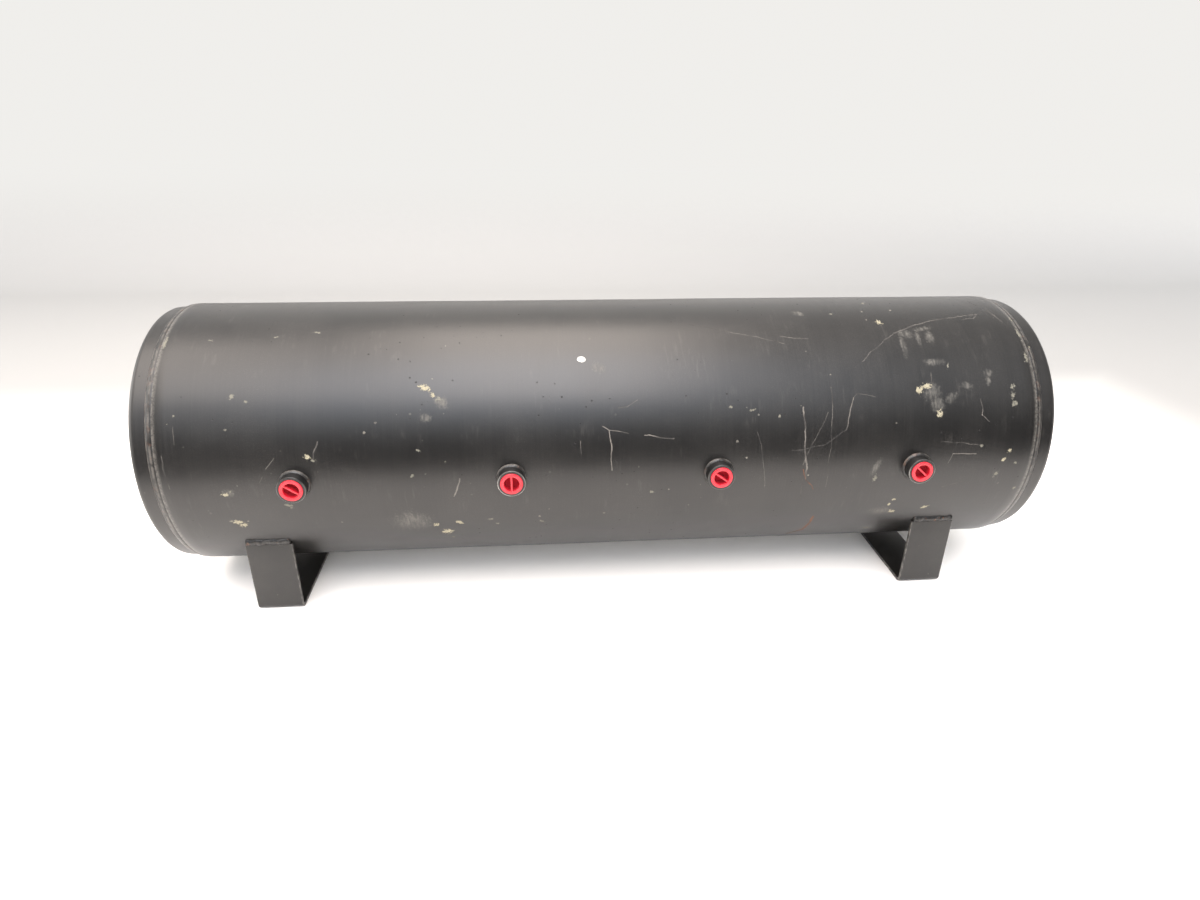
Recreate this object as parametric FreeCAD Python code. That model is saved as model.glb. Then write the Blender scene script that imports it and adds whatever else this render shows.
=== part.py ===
import FreeCAD, Part
import math
import os

# Horizontal pressure tank on two bent flat-bar feet. Millimetres.
# +X runs along the tank, the row of couplings faces -Y, +Z is up.
# The origin is on the floor, at the middle of the footprint.

# Shell: plain rolled tube, open at both ends until the heads are slipped in
SHELL_OD = 406.4
SHELL_LENGTH = 1268.0
WALL = 4.8
FLOOR_GAP = 28.8

# Heads: shallow dished ends with a straight flange that slips inside the shell
HEAD_SLIP_GAP = 0.2
HEAD_FLANGE_INSIDE = 20.0
HEAD_FLANGE_PROUD = 24.8
HEAD_KNUCKLE = 10.0
HEAD_CROWN = SHELL_OD
HEAD_WALL = WALL

# Fillet weld between the shell's cut end and the head's flange
HEAD_WELD_REACH = 9.0
HEAD_WELD_CROWN = 0.9

# Half couplings: short pipe sockets set through the shell in one level row
COUPLING_COUNT = 4
COUPLING_END_DISTANCE = 181.0
COUPLING_OD = 40.0
COUPLING_WALL = 3.8
COUPLING_PROUD = 17.5
COUPLING_INSIDE = 6.0
COUPLING_RIM_CHAMFER = 1.0
COUPLING_MOUTH_CHAMFER = 0.6
COUPLING_HOLE_GAP = 0.2

# Fillet weld round the foot of each coupling
COUPLING_WELD_REACH = 2.4
COUPLING_WELD_HEIGHT = 3.0
COUPLING_WELD_CROWN = 0.4

# Closing plugs: cups screwed into the couplings, with a thin web to turn them by
PLUG_GAP = 0.1
PLUG_PROUD = 1.5
PLUG_LENGTH = 15.0
PLUG_WALL = 5.2
PLUG_RECESS = 12.0
PLUG_WEB = 2.8
PLUG_WEB_DROP = 1.0
PLUG_RIM_ROUND = 0.5
PLUG_WEB_ANGLES = (35.0, 90.0, 36.0, 42.0)

# Feet: one flat bar each, bent into a U, welded under the shell by its leg tops
FOOT_BAR_WIDTH = 68.0
FOOT_BAR_THICK = 4.8
FOOT_SPAN_SHARE = 0.85
FOOT_END_DISTANCE = 117.0
FOOT_BEND_INSIDE = 5.0

# Weld strips on the leg tops
FOOT_WELD_OUT = 3.0
FOOT_WELD_END_GAP = 1.0

SHELL_R = SHELL_OD / 2
SHELL_BORE_R = SHELL_R - WALL
HEAD_R = SHELL_BORE_R - HEAD_SLIP_GAP
HALF_LENGTH = SHELL_LENGTH / 2
AXIS_HEIGHT = SHELL_R + FLOOR_GAP
COUPLING_PITCH = (SHELL_LENGTH - 2 * COUPLING_END_DISTANCE) / (COUPLING_COUNT - 1)
COUPLING_R = COUPLING_OD / 2
COUPLING_BORE_R = COUPLING_R - COUPLING_WALL
PLUG_R = COUPLING_BORE_R - PLUG_GAP
FOOT_SPAN = SHELL_OD * FOOT_SPAN_SHARE
FOOT_CENTRES = SHELL_LENGTH - 2 * FOOT_END_DISTANCE
FACE_R = SHELL_R + COUPLING_PROUD
AXIS_Y = (COUPLING_PROUD + PLUG_PROUD) / 2
PAST = 50.0

X = FreeCAD.Vector(1, 0, 0)
Y = FreeCAD.Vector(0, 1, 0)
Z = FreeCAD.Vector(0, 0, 1)


def point(x, y, z):
    return FreeCAD.Vector(x, y, z)


def on_axis(x):
    return point(x, AXIS_Y, AXIS_HEIGHT)


def tank_rod(radius, length):
    # a solid rod on the tank's axis, centred end to end
    return Part.makeCylinder(radius, length, on_axis(-length / 2), X)


def spun_face(edges, base, axis):
    return Part.Face(Part.Wire(edges)).revolve(base, axis, 360)


def lines(points):
    pairs = zip(points, points[1:])
    return [Part.LineSegment(a, b).toShape() for a, b in pairs]


def arc(start, middle, end):
    return Part.Arc(start, middle, end).toShape()


def coupling_stations():
    first = -COUPLING_PITCH * (COUPLING_COUNT - 1) / 2
    return [first + COUPLING_PITCH * i for i in range(COUPLING_COUNT)]


def shell():
    tube = tank_rod(SHELL_R, SHELL_LENGTH).cut(tank_rod(SHELL_BORE_R, SHELL_LENGTH + PAST))
    hole_r = COUPLING_R + COUPLING_HOLE_GAP
    for x in coupling_stations():
        tube = tube.cut(Part.makeCylinder(hole_r, SHELL_R + PAST, on_axis(x), -Y))
    return tube


def dish_points(flange_r, knuckle, crown, flange_end):
    # flange, knuckle and crown of one skin of the head, from the open end to the axis
    rise = math.sqrt((crown - knuckle) ** 2 - (flange_r - knuckle) ** 2)
    centre_x = flange_end - rise
    turn = math.atan2(rise, flange_r - knuckle)

    def on_knuckle(angle):
        along = flange_end + knuckle * math.sin(angle)
        out = flange_r - knuckle + knuckle * math.cos(angle)
        return on_axis(along) + Z * out

    def on_crown(angle):
        return on_axis(centre_x + crown * math.cos(angle)) + Z * (crown * math.sin(angle))

    edge = math.pi / 2 - turn
    knuckle_arc = arc(on_knuckle(0), on_knuckle(turn / 2), on_knuckle(turn))
    crown_arc = arc(on_crown(edge), on_crown(edge / 2), on_crown(0))
    return on_knuckle(0), knuckle_arc, crown_arc, on_crown(0)


def head():
    open_end = HALF_LENGTH - HEAD_FLANGE_INSIDE
    flange_end = HALF_LENGTH + HEAD_FLANGE_PROUD
    inner_r = HEAD_R - HEAD_WALL
    outer = dish_points(HEAD_R, HEAD_KNUCKLE, HEAD_CROWN, flange_end)
    inner = dish_points(inner_r, HEAD_KNUCKLE - HEAD_WALL, HEAD_CROWN - HEAD_WALL, flange_end)
    outer_start = on_axis(open_end) + Z * HEAD_R
    inner_start = on_axis(open_end) + Z * inner_r
    edges = lines([outer_start, outer[0]]) + [outer[1], outer[2]]
    edges += lines([outer[3], inner[3]]) + [inner[2], inner[1]]
    edges += lines([inner[0], inner_start, outer_start])
    return spun_face(edges, on_axis(0), X)


def head_weld():
    # fillet with a slightly full face, lying in the corner of shell end and flange
    corner = on_axis(HALF_LENGTH) + Z * HEAD_R
    top = on_axis(HALF_LENGTH) + Z * SHELL_R
    toe = on_axis(HALF_LENGTH + HEAD_WELD_REACH) + Z * HEAD_R
    outward = point(SHELL_R - HEAD_R, 0, HEAD_WELD_REACH).normalize()
    full = (top + toe) * 0.5 + outward * HEAD_WELD_CROWN
    edges = lines([toe, corner, top]) + [arc(top, full, toe)]
    return spun_face(edges, on_axis(0), X)


def other_end(shape):
    return shape.mirror(point(0, 0, 0), X)


def coupling_point(x, out, up):
    # out is the distance from the tank's axis towards the front
    return point(x, AXIS_Y - out, AXIS_HEIGHT + up)


def coupling(x):
    inner_end = SHELL_BORE_R - COUPLING_INSIDE
    length = FACE_R - inner_end
    base = coupling_point(x, inner_end, 0)
    rim_cone = COUPLING_RIM_CHAMFER
    body = Part.makeCylinder(COUPLING_R, length - rim_cone, base, -Y)
    rim = Part.makeCone(COUPLING_R, COUPLING_R - rim_cone, rim_cone,
                        coupling_point(x, FACE_R - rim_cone, 0), -Y)
    bore = Part.makeCylinder(COUPLING_BORE_R, length, base, -Y)
    mouth = Part.makeCone(COUPLING_BORE_R, COUPLING_BORE_R + COUPLING_MOUTH_CHAMFER,
                          COUPLING_MOUTH_CHAMFER,
                          coupling_point(x, FACE_R - COUPLING_MOUTH_CHAMFER, 0), -Y)
    return body.fuse(rim).cut(bore).cut(mouth).removeSplitter()


def coupling_weld(x):
    root = SHELL_R - 3.0
    toe_r = COUPLING_R + COUPLING_WELD_REACH
    skirt_in = coupling_point(x, root, COUPLING_R)
    skirt_out = coupling_point(x, root, toe_r)
    toe = coupling_point(x, SHELL_R, toe_r)
    top = coupling_point(x, SHELL_R + COUPLING_WELD_HEIGHT, COUPLING_R)
    outward = point(0, -COUPLING_WELD_REACH, COUPLING_WELD_HEIGHT).normalize()
    full = (top + toe) * 0.5 + outward * COUPLING_WELD_CROWN
    edges = [arc(toe, full, top)] + lines([top, skirt_in, skirt_out, toe])
    ring = spun_face(edges, on_axis(x), -Y)
    return ring.cut(tank_rod(SHELL_R, SHELL_LENGTH))


def plug(x, web_angle):
    top = FACE_R + PLUG_PROUD
    body = Part.makeCylinder(PLUG_R, PLUG_LENGTH, coupling_point(x, top - PLUG_LENGTH, 0), -Y)
    rim_edge = [e for e in body.Edges if abs(e.CenterOfMass.y - (AXIS_Y - top)) < 0.01
                and isinstance(e.Curve, Part.Circle)]
    body = body.makeFillet(PLUG_RIM_ROUND, rim_edge)
    recess_r = PLUG_R - PLUG_WALL
    cup = body.cut(Part.makeCylinder(recess_r, PLUG_RECESS + PAST,
                                     coupling_point(x, top - PLUG_RECESS, 0), -Y))
    depth = PLUG_RECESS - PLUG_WEB_DROP
    reach = math.sqrt((PLUG_R - PLUG_WALL / 2) ** 2 - PLUG_WEB ** 2)
    web = Part.makeBox(2 * reach, depth, PLUG_WEB,
                       coupling_point(x - reach, top - PLUG_WEB_DROP, -PLUG_WEB / 2))
    web.rotate(coupling_point(x, top, 0), Y, web_angle)
    return cup.fuse(web).removeSplitter()


def leg_top_height():
    # the leg's inner top edge just meets the round of the shell
    inner_y = FOOT_SPAN / 2 - FOOT_BAR_THICK
    return AXIS_HEIGHT - math.sqrt(SHELL_R ** 2 - inner_y ** 2)


def foot(x):
    half = FOOT_SPAN / 2
    top = leg_top_height()
    width = FOOT_BAR_WIDTH
    outer = Part.makeBox(width, FOOT_SPAN, top, point(x - width / 2, AXIS_Y - half, 0))
    thick = FOOT_BAR_THICK
    inner = Part.makeBox(width, FOOT_SPAN - 2 * thick, top,
                         point(x - width / 2, AXIS_Y - half + thick, thick))
    outer = round_bends(outer, 0, half, FOOT_BEND_INSIDE + thick)
    inner = round_bends(inner, thick, half - thick, FOOT_BEND_INSIDE)
    return outer.cut(inner)


def round_bends(block, level, half, radius):
    # the two long lower edges of a block, where the bar is bent
    bends = []
    for edge in block.Edges:
        middle = edge.CenterOfMass
        side = abs(abs(middle.y - AXIS_Y) - half) < 0.01
        if side and abs(middle.z - level) < 0.01:
            bends.append(edge)
    return block.makeFillet(radius, bends)


def foot_weld(x, side):
    # a strip lying on the leg's top edge and up against the shell; side is -1 front, 1 rear
    top = leg_top_height()
    inner = FOOT_SPAN / 2 - FOOT_BAR_THICK
    outer = FOOT_SPAN / 2
    reach = outer + FOOT_WELD_OUT
    rise = AXIS_HEIGHT - math.sqrt(SHELL_R ** 2 - reach ** 2)
    length = FOOT_BAR_WIDTH - 2 * FOOT_WELD_END_GAP
    start = x - length / 2

    def at(out, up):
        return point(start, AXIS_Y + side * out, up)

    full = at(outer + 2.6, (top + rise) / 2 - 0.6)
    edges = lines([at(outer, top), at(inner, top), at(inner, rise), at(reach, rise)])
    edges.append(arc(at(reach, rise), full, at(outer, top)))
    bar = Part.Face(Part.Wire(edges)).extrude(X * length)
    return bar.cut(tank_rod(SHELL_R, SHELL_LENGTH))


def all_nodes():
    nodes = {
        "shell": shell(),
        "head_right": head(),
        "head_weld_right": head_weld(),
    }
    nodes["head_left"] = other_end(nodes["head_right"])
    nodes["head_weld_left"] = other_end(nodes["head_weld_right"])
    for i, x in enumerate(coupling_stations()):
        nodes[f"coupling_{i + 1}"] = coupling(x)
        nodes[f"coupling_weld_{i + 1}"] = coupling_weld(x)
        nodes[f"plug_{i + 1}"] = plug(x, PLUG_WEB_ANGLES[i])
    for name, x in (("left", -FOOT_CENTRES / 2), ("right", FOOT_CENTRES / 2)):
        nodes[f"foot_{name}"] = foot(x)
        nodes[f"foot_{name}_weld_front"] = foot_weld(x, -1)
        nodes[f"foot_{name}_weld_rear"] = foot_weld(x, 1)
    return nodes


os.makedirs("parts", exist_ok=True)
for name, shape in all_nodes().items():
    if len(shape.Solids) != 1 or not shape.isValid():
        raise ValueError(f"{name} is not one sound solid")
    shape.Solids[0].exportStep(f"parts/{name}.step")
    box = shape.BoundBox
    print(f"{name:24s} {shape.Volume:12.1f} mm3  x {box.XMin:8.2f} {box.XMax:8.2f}"
          f"  y {box.YMin:8.2f} {box.YMax:8.2f}  z {box.ZMin:8.2f} {box.ZMax:8.2f}")
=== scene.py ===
import math

import bmesh
import bpy
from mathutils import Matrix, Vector


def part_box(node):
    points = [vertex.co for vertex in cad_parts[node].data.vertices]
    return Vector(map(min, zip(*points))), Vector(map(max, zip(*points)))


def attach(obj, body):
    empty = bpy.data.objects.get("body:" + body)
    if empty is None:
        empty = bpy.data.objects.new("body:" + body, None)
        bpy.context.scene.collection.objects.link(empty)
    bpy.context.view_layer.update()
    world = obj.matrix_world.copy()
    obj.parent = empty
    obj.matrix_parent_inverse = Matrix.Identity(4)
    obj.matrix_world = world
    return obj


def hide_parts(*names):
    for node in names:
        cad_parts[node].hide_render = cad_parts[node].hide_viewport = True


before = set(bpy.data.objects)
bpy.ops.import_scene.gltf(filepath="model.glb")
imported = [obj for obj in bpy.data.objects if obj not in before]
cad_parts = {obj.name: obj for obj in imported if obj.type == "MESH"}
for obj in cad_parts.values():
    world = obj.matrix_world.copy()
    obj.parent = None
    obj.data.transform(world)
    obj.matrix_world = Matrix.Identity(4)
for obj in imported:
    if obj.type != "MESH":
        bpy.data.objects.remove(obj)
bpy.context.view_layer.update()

# metres, tank along X, couplings towards -Y, floor at Z 0


def nodeBox(node):
    low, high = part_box(node)
    return Vector(low), Vector(high)


shellLow, shellHigh = nodeBox("shell")
shellRadius = (shellHigh.y - shellLow.y) / 2
axisY = (shellHigh.y + shellLow.y) / 2
axisZ = (shellHigh.z + shellLow.z) / 2
halfLength = shellHigh.x


# modelling helpers

def clearSelection():
    if bpy.context.object and bpy.context.object.mode != 'OBJECT':
        bpy.ops.object.mode_set(mode='OBJECT')
    bpy.ops.object.select_all(action='DESELECT')


def makeActive(piece):
    clearSelection()
    piece.select_set(True)
    bpy.context.view_layer.objects.active = piece


def startEdit(piece):
    makeActive(piece)
    bpy.ops.object.mode_set(mode='EDIT')
    bpy.ops.mesh.select_all(action='DESELECT')


def pick(piece, kind, test):
    # in edit mode: select the points, edges or faces whose middle passes the test
    bpy.ops.mesh.select_mode(type=kind)
    bpy.ops.mesh.select_all(action='DESELECT')
    mesh = bmesh.from_edit_mesh(piece.data)
    if kind == 'VERT':
        for vert in mesh.verts:
            vert.select_set(test(vert.co))
    elif kind == 'EDGE':
        for edge in mesh.edges:
            edge.select_set(test((edge.verts[0].co + edge.verts[1].co) / 2))
    else:
        for face in mesh.faces:
            face.select_set(test(face.calc_center_median()))
    mesh.select_flush(True)
    bmesh.update_edit_mesh(piece.data)


def extrudeBy(shift):
    bpy.ops.mesh.extrude_region_move(TRANSFORM_OT_translate={"value": shift})


def cleanMesh():
    # in edit mode: weld what meets, then turn every face outwards
    bpy.ops.mesh.select_all(action='SELECT')
    bpy.ops.mesh.remove_doubles(threshold=0.000002)
    bpy.ops.mesh.normals_make_consistent(inside=False)
    bpy.ops.object.mode_set(mode='OBJECT')


def applyPlace(piece):
    makeActive(piece)
    bpy.ops.object.transform_apply(location=True, rotation=True, scale=True)


def nameIt(piece, name):
    piece.name = piece.data.name = name
    return piece


def copyTo(source, name, location=(0, 0, 0), turn=(0, 0, 0), mirror=False):
    # a copy with its own mesh, set in its place
    piece = source.copy()
    piece.data = source.data.copy()
    bpy.context.collection.objects.link(piece)
    nameIt(piece, name)
    piece.rotation_euler = turn
    piece.location = location
    if mirror:
        piece.scale.x = -1
    applyPlace(piece)
    if mirror:
        startEdit(piece)
        cleanMesh()
    return piece


def turnedPiece(name, place, profile, steps):
    # a ring drawn out along its axis and scaled at each stop of the profile, as on a lathe
    # the profile holds (distance along the axis, radius); a radius of 0 closes to a point
    atPole = profile[0][1] == 0
    stops = profile[1:] if atPole else profile
    facing = (place(1) - place(0)).to_track_quat('Z', 'Y').to_euler()
    clearSelection()
    bpy.ops.mesh.primitive_circle_add(
        vertices=steps, radius=stops[0][1], location=place(stops[0][0]), rotation=facing)
    piece = nameIt(bpy.context.object, name)
    applyPlace(piece)
    startEdit(piece)
    bpy.ops.mesh.select_all(action='SELECT')

    def drawOut(fromAlong, toAlong, growth):
        extrudeBy(place(toAlong) - place(fromAlong))
        if growth == 0:
            bpy.ops.mesh.merge(type='CENTER')
        else:
            bpy.ops.transform.resize(value=(growth, growth, growth), center_override=place(toAlong))

    for (fromAlong, fromRadius), (toAlong, toRadius) in zip(stops, stops[1:]):
        drawOut(fromAlong, toAlong, toRadius / fromRadius)
    if atPole:
        bpy.ops.mesh.select_all(action='DESELECT')
        bpy.ops.mesh.select_non_manifold()
        drawOut(stops[0][0], profile[0][0], 0)
    cleanMesh()
    return piece


def applyModifier(piece, kind, **settings):
    makeActive(piece)
    modifier = piece.modifiers.new(kind.title(), kind)
    for key, value in settings.items():
        setattr(modifier, key, value)
    bpy.ops.object.modifier_apply(modifier=modifier.name)


def cutWith(piece, tool, operation='DIFFERENCE'):
    applyModifier(piece, 'BOOLEAN', object=tool, operation=operation, solver='EXACT')
    bpy.data.objects.remove(tool)


def roundEdges(piece, width, segments=3, angle=35):
    applyModifier(piece, 'BEVEL', width=width, segments=segments, limit_method='ANGLE',
                  angle_limit=math.radians(angle))


def unevenSkin(piece, layers, test=None):
    # lumps of each (size, height) raised on the points that pass the test
    group = ""
    if test:
        group = "skin"
        startEdit(piece)
        pick(piece, 'VERT', test)
        piece.vertex_groups.new(name=group)
        bpy.ops.object.vertex_group_assign()
        clearSelection()
    for size, height in layers:
        pattern = bpy.data.textures.new(piece.name + "Lumps", 'CLOUDS')
        pattern.noise_scale = size
        pattern.noise_depth = 1
        applyModifier(piece, 'DISPLACE', texture=pattern, strength=height, mid_level=0.5,
                      vertex_group=group)


def finishPiece(piece, node, material, angle=35):
    makeActive(piece)
    bpy.ops.object.shade_smooth_by_angle(angle=math.radians(angle))
    piece.data.materials.clear()
    piece.data.materials.append(material)
    piece.vertex_groups.clear()
    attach(piece, "root")
    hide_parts(node)
    clearSelection()


def bulge(start, end, height, count):
    # points along a shallow curve between two profile points, for a weld's full face
    (a0, r0), (a1, r1) = start, end
    length = math.hypot(a1 - a0, r1 - r0)
    outA, outR = (r0 - r1) / length, (a1 - a0) / length
    points = []
    for i in range(1, count):
        t = i / count
        lift = height * 4 * t * (1 - t)
        points.append((a0 + (a1 - a0) * t + outA * lift, r0 + (r1 - r0) * t + outR * lift))
    return points


def quarter(centre, radius, startAngle, endAngle, count):
    # points of a round in profile space: 0 degrees along the axis, 90 outwards
    points = []
    for i in range(count + 1):
        a = math.radians(startAngle + (endAngle - startAngle) * i / count)
        points.append((centre[0] + radius * math.cos(a), centre[1] + radius * math.sin(a)))
    return points


def fromAxis(co):
    return math.hypot(co.y - axisY, co.z - axisZ)


# material helpers: each adds its node to the tree in use

tree = None


def useTree(chosen):
    global tree
    tree = chosen


def connect(value, socket):
    if isinstance(value, bpy.types.NodeSocket):
        tree.links.new(value, socket)
    else:
        socket.default_value = value


def mathOf(operation, first, second=0.0, third=0.0):
    step = tree.nodes.new('ShaderNodeMath')
    step.operation = operation
    for socket, given in zip(step.inputs, (first, second, third)):
        connect(given, socket)
    return step.outputs[0]


def product(*values):
    total = values[0]
    for value in values[1:]:
        total = mathOf('MULTIPLY', total, value)
    return total


def minus(first, second):
    return mathOf('SUBTRACT', first, second)


def vectorOf(operation, first, second=(0, 0, 0), wanted=0):
    step = tree.nodes.new('ShaderNodeVectorMath')
    step.operation = operation
    connect(first, step.inputs[0])
    connect(second, step.inputs['Scale' if operation == 'SCALE' else 1])
    return step.outputs[wanted]


def rangeOf(value, low, high, toLow=0.0, toHigh=1.0, smooth=True):
    step = tree.nodes.new('ShaderNodeMapRange')
    step.interpolation_type = 'SMOOTHSTEP' if smooth else 'LINEAR'
    for socket, given in zip(step.inputs[:5], (value, low, high, toLow, toHigh)):
        connect(given, socket)
    return step.outputs[0]


def noiseOf(vector, scale, detail=2.0, roughness=0.5, wanted='Fac'):
    step = tree.nodes.new('ShaderNodeTexNoise')
    connect(vector, step.inputs['Vector'])
    connect(scale, step.inputs['Scale'])
    step.inputs['Detail'].default_value = detail
    step.inputs['Roughness'].default_value = roughness
    return step.outputs[wanted]


def mixOf(share, first, second, kind='RGBA'):
    step = tree.nodes.new('ShaderNodeMix')
    step.data_type = kind
    start, end = {'FLOAT': (2, 0), 'RGBA': (6, 2)}[kind]
    connect(share, step.inputs[0])
    connect(first, step.inputs[start])
    connect(second, step.inputs[start + 1])
    return step.outputs[end]


def partsOf(vector):
    step = tree.nodes.new('ShaderNodeSeparateXYZ')
    connect(vector, step.inputs[0])
    return step.outputs


def joinOf(x, y, z=0.0):
    step = tree.nodes.new('ShaderNodeCombineXYZ')
    for socket, given in zip(step.inputs, (x, y, z)):
        connect(given, socket)
    return step.outputs[0]


def firstOf(kind):
    return next(n for n in tree.nodes if n.type == kind)


def groupOf(group, **inputs):
    step = tree.nodes.new('ShaderNodeGroup')
    step.node_tree = group
    for name, value in inputs.items():
        connect(value, step.inputs[name])
    return step.outputs[0]


def newGroup(name, wanted, kind='Float', **inputs):
    # each named value becomes an input of its kind, with one result
    useTree(bpy.data.node_groups.new(name, 'ShaderNodeTree'))
    for label, value in inputs.items():
        given = 'NodeSocketFloat' if isinstance(value, float) else 'NodeSocketVector'
        tree.interface.new_socket(name=label, in_out='INPUT', socket_type=given).default_value = value
    tree.interface.new_socket(name=wanted, in_out='OUTPUT', socket_type='NodeSocket' + kind)
    source = tree.nodes.new('NodeGroupInput')
    target = tree.nodes.new('NodeGroupOutput')
    return source.outputs, target.inputs[wanted]


def newMaterial(name):
    material = bpy.data.materials.new(name)
    material.use_nodes = True
    useTree(material.node_tree)
    shader = firstOf('BSDF_PRINCIPLED')
    place = tree.nodes.new('ShaderNodeTexCoord').outputs['Object']
    return material, shader, place


def setFinish(shader, colour, roughness, height, distance):
    bump = tree.nodes.new('ShaderNodeBump')
    bump.inputs['Distance'].default_value = distance
    connect(height, bump.inputs['Height'])
    connect(colour, shader.inputs['Base Color'])
    connect(roughness, shader.inputs['Roughness'])
    connect(bump.outputs[0], shader.inputs['Normal'])


# shared effects

def makeUnrollGroup():
    # the tank's skin laid flat: X along it, Y up round its front from the socket row
    given, result = newGroup("tankUnroll", "Unrolled", 'Vector', Position=(0, 0, 0))
    x, y, z = partsOf(given['Position'])
    angle = mathOf('ARCTAN2', minus(z, axisZ), minus(axisY, y))
    around = product(angle, shellRadius)
    connect(joinOf(x, around), result)
    return tree


def makeStreakGroup():
    # fine lines that run round the tank, from rolling and wiping
    given, result = newGroup("rolledStreaks", "Streaks", Position=(0, 0, 0), Pitch=0.003, Reach=0.2)
    x, y, z = partsOf(given['Position'])
    stretched = joinOf(mathOf('DIVIDE', x, given['Pitch']), mathOf('DIVIDE', y, given['Reach']),
                       mathOf('DIVIDE', z, given['Reach']))
    connect(noiseOf(stretched, 1.0, 3.0, 0.6), result)
    return tree


def makeScratchGroup():
    # how far inside a thin line between two places: 1 at its middle, 0 at its side
    given, result = newGroup("scratchLine", "Inside", Place=(0, 0, 0), From=(0, 0, 0), To=(0.1, 0, 0),
                             Width=0.001)
    fromStart = vectorOf('SUBTRACT', given['Place'], given['From'])
    run = vectorOf('SUBTRACT', given['To'], given['From'])
    share = mathOf('DIVIDE', vectorOf('DOT_PRODUCT', fromStart, run, 1),
                   vectorOf('DOT_PRODUCT', run, run, 1))
    held = mathOf('MINIMUM', mathOf('MAXIMUM', share, 0.0), 1.0)
    onLine = vectorOf('SCALE', run, held)
    gap = vectorOf('DISTANCE', fromStart, onLine, 1)
    halfWidth = product(given['Width'], 0.5)
    connect(minus(1.0, mathOf('DIVIDE', gap, halfWidth)), result)
    return tree


def makeSpotGroup():
    # how far inside an oval: 1 at its middle, 0 at its rim
    given, result = newGroup("ovalSpot", "Inside", Place=(0, 0, 0), Centre=(0, 0, 0),
                             Size=(0.01, 0.01, 1), Turn=0.0)
    fromCentre = vectorOf('SUBTRACT', given['Place'], given['Centre'])
    turned = tree.nodes.new('ShaderNodeVectorRotate')
    turned.rotation_type = 'Z_AXIS'
    connect(fromCentre, turned.inputs['Vector'])
    connect(given['Turn'], turned.inputs['Angle'])
    gap = vectorOf('LENGTH', vectorOf('DIVIDE', turned.outputs[0], given['Size']), wanted=1)
    connect(minus(1.0, gap), result)
    return tree


def makeChipGroup():
    # scattered spots of random size, ragged at their edges
    given, result = newGroup("scatteredChips", "Mask", Position=(0, 0, 0), Spacing=0.05, Size=0.005,
                             Rarity=0.8, Ragged=0.002)
    sway = vectorOf('SUBTRACT', noiseOf(given['Position'], 420.0, 2.0, 0.6, 'Color'), (0.5, 0.5, 0.5))
    moved = vectorOf('ADD', given['Position'], vectorOf('SCALE', sway, given['Ragged']))
    perMetre = mathOf('DIVIDE', 1.0, given['Spacing'])
    cells = tree.nodes.new('ShaderNodeTexVoronoi')
    connect(moved, cells.inputs['Vector'])
    connect(perMetre, cells.inputs['Scale'])
    draw = partsOf(cells.outputs['Color'])[0]
    chosen = rangeOf(draw, given['Rarity'], 1.0, smooth=False)
    reach = product(chosen, mathOf('DIVIDE', given['Size'], given['Spacing']))
    spot = rangeOf(cells.outputs['Distance'], product(reach, 0.7), reach, 1.0, 0.0)
    present = mathOf('GREATER_THAN', chosen, 0.0)
    connect(product(spot, present), result)
    return tree


unrollGroup = makeUnrollGroup()
streakGroup = makeStreakGroup()
scratchGroup = makeScratchGroup()
spotGroup = makeSpotGroup()
chipGroup = makeChipGroup()
print("shared effects ready")


# tank paint, with the wear that sits on the shell

paintSettings = {
    "black": (0.0036, 0.0034, 0.0034, 1),
    "greyed": (0.0075, 0.0070, 0.0067, 1),
    "pitShade": (0.0015, 0.0015, 0.0015, 1),
    "dust": (0.170, 0.160, 0.145, 1),
    "fleck": (0.150, 0.140, 0.118, 1),
    "scuff": (0.030, 0.028, 0.026, 1),
    "pale": (0.125, 0.120, 0.095, 1),
    "chalk": (0.105, 0.100, 0.088, 1),
    # the colour of scratches, and of weld lines where it is partly a painted highlight
    "scratchAndGlint": (0.120, 0.110, 0.098, 1),
    "edgeBand": 0.0065,
    # rubbed paint at the shell's ends, made paler to stand in for a painted highlight
    "edgeRubAndGlint": (0.080, 0.075, 0.068, 1),
    "cream": (0.270, 0.245, 0.170, 1),
    "bright": (0.520, 0.515, 0.490, 1),
    "rust": (0.200, 0.068, 0.022, 1),
    # spacing, size, rarity and raggedness of the small spots
    "pitSpread": (0.0085, 0.0017, 0.62, 0.0012),
    "fleckSpread": (0.016, 0.0024, 0.70, 0.0024),
    "chipSpread": (0.10, 0.0070, 0.66, 0.0070),
    "faintShare": 0.48,
    "strongShare": 0.85,
    "rustShare": 0.60,
    "roughness": (0.345, 0.385),
    "dullness": 0.75,
    "bump": 0.00011,
}

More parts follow.
